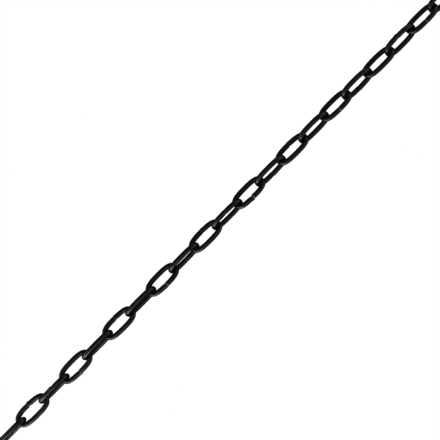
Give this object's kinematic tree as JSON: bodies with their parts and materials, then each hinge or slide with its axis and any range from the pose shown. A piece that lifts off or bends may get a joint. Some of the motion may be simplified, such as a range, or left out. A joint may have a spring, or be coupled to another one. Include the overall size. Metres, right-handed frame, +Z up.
{
  "type": "clock chain",
  "caption": "Straight length of black steel clock chain: open oval links bent from round wire, each with a butted seam at mid-leg, neighbours a quarter turn apart.",
  "frame": {"origin": "bottom centre of the chain's box: below its middle link, on the surface that it lies on", "axes": "+X along the chain, +Z up from the surface that it lies on"},
  "size_m": [1.0118, 0.0114, 0.0115],
  "materials": {
    "wire": "satin black"
  },
  "bodies": {
    "link_01": {"link_01": "wire"},
    "link_02": {"link_02": "wire"},
    "link_03": {"link_03": "wire"},
    "link_04": {"link_04": "wire"},
    "link_05": {"link_05": "wire"},
    "link_06": {"link_06": "wire"},
    "link_07": {"link_07": "wire"},
    "link_08": {"link_08": "wire"},
    "link_09": {"link_09": "wire"},
    "link_10": {"link_10": "wire"},
    "link_11": {"link_11": "wire"},
    "link_12": {"link_12": "wire"},
    "link_13": {"link_13": "wire"},
    "link_14": {"link_14": "wire"},
    "link_15": {"link_15": "wire"},
    "link_16": {"link_16": "wire"},
    "link_17": {"link_17": "wire"},
    "link_18": {"link_18": "wire"},
    "link_19": {"link_19": "wire"},
    "link_20": {"link_20": "wire"},
    "link_21": {"link_21": "wire"},
    "link_22": {"link_22": "wire"},
    "link_23": {"link_23": "wire"},
    "link_24": {"link_24": "wire"},
    "link_25": {"link_25": "wire"},
    "link_26": {"link_26": "wire"},
    "link_27": {"link_27": "wire"},
    "link_28": {"link_28": "wire"},
    "link_29": {"link_29": "wire"},
    "link_30": {"link_30": "wire"},
    "link_31": {"link_31": "wire"},
    "link_32": {"link_32": "wire"},
    "link_33": {"link_33": "wire"},
    "link_34": {"link_34": "wire"},
    "link_35": {"link_35": "wire"},
    "link_36": {"link_36": "wire"},
    "link_37": {"link_37": "wire"},
    "link_38": {"link_38": "wire"},
    "link_39": {"link_39": "wire"},
    "link_40": {"link_40": "wire"},
    "link_41": {"link_41": "wire"},
    "link_42": {"link_42": "wire"},
    "link_43": {"link_43": "wire"},
    "link_44": {"link_44": "wire"},
    "link_45": {"link_45": "wire"},
    "link_46": {"link_46": "wire"},
    "link_47": {"link_47": "wire"},
    "link_48": {"link_48": "wire"},
    "link_49": {"link_49": "wire"},
    "link_50": {"link_50": "wire"},
    "link_51": {"link_51": "wire"}
  },
  "joints": [
    {"name": "seat_01_left", "type": "hinge", "parent": "link_26", "child": "link_25", "pos_m": [-0.01169, 0, 0.00574], "axis": [0, 0.6933, 0.7206], "range_deg": [-120, 120]},
    {"name": "seat_01_right", "type": "hinge", "parent": "link_26", "child": "link_27", "pos_m": [0.01169, 0, 0.00574], "axis": [0, 0.6933, 0.7206], "range_deg": [-120, 120]},
    {"name": "seat_02_left", "type": "hinge", "parent": "link_25", "child": "link_24", "pos_m": [-0.03139, 0, 0.00574], "axis": [0, 0.7146, -0.6995], "range_deg": [-120, 120]},
    {"name": "seat_02_right", "type": "hinge", "parent": "link_27", "child": "link_28", "pos_m": [0.03139, 0, 0.00574], "axis": [0, -0.6723, 0.7403], "range_deg": [-120, 120]},
    {"name": "seat_03_left", "type": "hinge", "parent": "link_24", "child": "link_23", "pos_m": [-0.05109, 0, 0.00574], "axis": [0, -0.6403, -0.7681], "range_deg": [-120, 120]},
    {"name": "seat_03_right", "type": "hinge", "parent": "link_28", "child": "link_29", "pos_m": [0.05109, 0, 0.00574], "axis": [0, -0.7458, -0.6662], "range_deg": [-120, 120]},
    {"name": "seat_04_left", "type": "hinge", "parent": "link_23", "child": "link_22", "pos_m": [-0.07079, 0, 0.00574], "axis": [0, -0.7583, 0.6519], "range_deg": [-120, 120]},
    {"name": "seat_04_right", "type": "hinge", "parent": "link_29", "child": "link_30", "pos_m": [0.07079, 0, 0.00574], "axis": [0, 0.6293, -0.7771], "range_deg": [-120, 120]},
    {"name": "seat_05_left", "type": "hinge", "parent": "link_22", "child": "link_21", "pos_m": [-0.09049, 0, 0.00574], "axis": [0, 0.5893, 0.8079], "range_deg": [-120, 120]},
    {"name": "seat_05_right", "type": "hinge", "parent": "link_30", "child": "link_31", "pos_m": [0.09049, 0, 0.00574], "axis": [0, 0.7935, 0.6086], "range_deg": [-120, 120]},
    {"name": "seat_06_left", "type": "hinge", "parent": "link_21", "child": "link_20", "pos_m": [-0.11019, 0, 0.00574], "axis": [0, 0.8028, -0.5963], "range_deg": [-120, 120]},
    {"name": "seat_06_right", "type": "hinge", "parent": "link_31", "child": "link_32", "pos_m": [0.11019, 0, 0.00574], "axis": [0, -0.5807, 0.8141], "range_deg": [-120, 120]},
    {"name": "seat_07_left", "type": "hinge", "parent": "link_20", "child": "link_19", "pos_m": [-0.12989, 0, 0.00574], "axis": [0, -0.5409, -0.8411], "range_deg": [-120, 120]},
    {"name": "seat_07_right", "type": "hinge", "parent": "link_32", "child": "link_33", "pos_m": [0.12989, 0, 0.00574], "axis": [0, -0.8329, -0.5534], "range_deg": [-120, 120]},
    {"name": "seat_08_left", "type": "hinge", "parent": "link_19", "child": "link_18", "pos_m": [-0.14959, 0, 0.00574], "axis": [0, -0.8455, 0.534], "range_deg": [-120, 120]},
    {"name": "seat_08_right", "type": "hinge", "parent": "link_33", "child": "link_34", "pos_m": [0.14959, 0, 0.00574], "axis": [0, 0.5255, -0.8508], "range_deg": [-120, 120]},
    {"name": "seat_09_left", "type": "hinge", "parent": "link_18", "child": "link_17", "pos_m": [-0.16929, 0, 0.00574], "axis": [0, 0.4924, 0.8703], "range_deg": [-120, 120]},
    {"name": "seat_09_right", "type": "hinge", "parent": "link_34", "child": "link_35", "pos_m": [0.16929, 0, 0.00574], "axis": [0, 0.8678, 0.497], "range_deg": [-120, 120]},
    {"name": "seat_10_left", "type": "hinge", "parent": "link_17", "child": "link_16", "pos_m": [-0.18899, 0, 0.00574], "axis": [0, 0.8831, -0.4693], "range_deg": [-120, 120]},
    {"name": "seat_10_right", "type": "hinge", "parent": "link_35", "child": "link_36", "pos_m": [0.18899, 0, 0.00574], "axis": [0, -0.4679, 0.8838], "range_deg": [-120, 120]},
    {"name": "seat_11_left", "type": "hinge", "parent": "link_16", "child": "link_15", "pos_m": [-0.20869, 0, 0.00574], "axis": [0, -0.4384, -0.8988], "range_deg": [-120, 120]},
    {"name": "seat_11_right", "type": "hinge", "parent": "link_36", "child": "link_37", "pos_m": [0.20869, 0, 0.00574], "axis": [0, -0.8988, -0.4384], "range_deg": [-120, 120]},
    {"name": "seat_12_left", "type": "hinge", "parent": "link_15", "child": "link_14", "pos_m": [-0.22839, 0, 0.00574], "axis": [0, -0.9128, 0.4083], "range_deg": [-120, 120]},
    {"name": "seat_12_right", "type": "hinge", "parent": "link_37", "child": "link_38", "pos_m": [0.22839, 0, 0.00574], "axis": [0, 0.4083, -0.9128], "range_deg": [-120, 120]},
    {"name": "seat_13_left", "type": "hinge", "parent": "link_14", "child": "link_13", "pos_m": [-0.24809, 0, 0.00574], "axis": [0, 0.3827, 0.9239], "range_deg": [-120, 120]},
    {"name": "seat_13_right", "type": "hinge", "parent": "link_38", "child": "link_39", "pos_m": [0.24809, 0, 0.00574], "axis": [0, 0.9239, 0.3827], "range_deg": [-120, 120]},
    {"name": "seat_14_left", "type": "hinge", "parent": "link_13", "child": "link_12", "pos_m": [-0.26779, 0, 0.00574], "axis": [0, 0.9239, -0.3827], "range_deg": [-120, 120]},
    {"name": "seat_14_right", "type": "hinge", "parent": "link_39", "child": "link_40", "pos_m": [0.26779, 0, 0.00574], "axis": [0, -0.3827, 0.9239], "range_deg": [-120, 120]},
    {"name": "seat_15_left", "type": "hinge", "parent": "link_12", "child": "link_11", "pos_m": [-0.28749, 0, 0.00574], "axis": [0, -0.3827, -0.9239], "range_deg": [-120, 120]},
    {"name": "seat_15_right", "type": "hinge", "parent": "link_40", "child": "link_41", "pos_m": [0.28749, 0, 0.00574], "axis": [0, -0.9239, -0.3827], "range_deg": [-120, 120]},
    {"name": "seat_16_left", "type": "hinge", "parent": "link_11", "child": "link_10", "pos_m": [-0.30719, 0, 0.00574], "axis": [0, -0.9239, 0.3827], "range_deg": [-120, 120]},
    {"name": "seat_16_right", "type": "hinge", "parent": "link_41", "child": "link_42", "pos_m": [0.30719, 0, 0.00574], "axis": [0, 0.3827, -0.9239], "range_deg": [-120, 120]},
    {"name": "seat_17_left", "type": "hinge", "parent": "link_10", "child": "link_09", "pos_m": [-0.32689, 0, 0.00574], "axis": [0, 0.3827, 0.9239], "range_deg": [-120, 120]},
    {"name": "seat_17_right", "type": "hinge", "parent": "link_42", "child": "link_43", "pos_m": [0.32689, 0, 0.00574], "axis": [0, 0.9239, 0.3827], "range_deg": [-120, 120]},
    {"name": "seat_18_left", "type": "hinge", "parent": "link_09", "child": "link_08", "pos_m": [-0.34659, 0, 0.00574], "axis": [0, 0.9239, -0.3827], "range_deg": [-120, 120]},
    {"name": "seat_18_right", "type": "hinge", "parent": "link_43", "child": "link_44", "pos_m": [0.34659, 0, 0.00574], "axis": [0, -0.3827, 0.9239], "range_deg": [-120, 120]},
    {"name": "seat_19_left", "type": "hinge", "parent": "link_08", "child": "link_07", "pos_m": [-0.36629, 0, 0.00574], "axis": [0, -0.3827, -0.9239], "range_deg": [-120, 120]},
    {"name": "seat_19_right", "type": "hinge", "parent": "link_44", "child": "link_45", "pos_m": [0.36629, 0, 0.00574], "axis": [0, -0.9239, -0.3827], "range_deg": [-120, 120]},
    {"name": "seat_20_left", "type": "hinge", "parent": "link_07", "child": "link_06", "pos_m": [-0.38599, 0, 0.00574], "axis": [0, -0.9239, 0.3827], "range_deg": [-120, 120]},
    {"name": "seat_20_right", "type": "hinge", "parent": "link_45", "child": "link_46", "pos_m": [0.38599, 0, 0.00574], "axis": [0, 0.3827, -0.9239], "range_deg": [-120, 120]},
    {"name": "seat_21_left", "type": "hinge", "parent": "link_06", "child": "link_05", "pos_m": [-0.40569, 0, 0.00574], "axis": [0, 0.3827, 0.9239], "range_deg": [-120, 120]},
    {"name": "seat_21_right", "type": "hinge", "parent": "link_46", "child": "link_47", "pos_m": [0.40569, 0, 0.00574], "axis": [0, 0.9239, 0.3827], "range_deg": [-120, 120]},
    {"name": "seat_22_left", "type": "hinge", "parent": "link_05", "child": "link_04", "pos_m": [-0.42539, 0, 0.00574], "axis": [0, 0.9239, -0.3827], "range_deg": [-120, 120]},
    {"name": "seat_22_right", "type": "hinge", "parent": "link_47", "child": "link_48", "pos_m": [0.42539, 0, 0.00574], "axis": [0, -0.3827, 0.9239], "range_deg": [-120, 120]},
    {"name": "seat_23_left", "type": "hinge", "parent": "link_04", "child": "link_03", "pos_m": [-0.44509, 0, 0.00574], "axis": [0, -0.3827, -0.9239], "range_deg": [-120, 120]},
    {"name": "seat_23_right", "type": "hinge", "parent": "link_48", "child": "link_49", "pos_m": [0.44509, 0, 0.00574], "axis": [0, -0.9239, -0.3827], "range_deg": [-120, 120]},
    {"name": "seat_24_left", "type": "hinge", "parent": "link_03", "child": "link_02", "pos_m": [-0.46479, 0, 0.00574], "axis": [0, -0.9239, 0.3827], "range_deg": [-120, 120]},
    {"name": "seat_24_right", "type": "hinge", "parent": "link_49", "child": "link_50", "pos_m": [0.46479, 0, 0.00574], "axis": [0, 0.3827, -0.9239], "range_deg": [-120, 120]},
    {"name": "seat_25_left", "type": "hinge", "parent": "link_02", "child": "link_01", "pos_m": [-0.48449, 0, 0.00574], "axis": [0, 0.3827, 0.9239], "range_deg": [-120, 120]},
    {"name": "seat_25_right", "type": "hinge", "parent": "link_50", "child": "link_51", "pos_m": [0.48449, 0, 0.00574], "axis": [0, 0.9239, 0.3827], "range_deg": [-120, 120]}
  ]
}
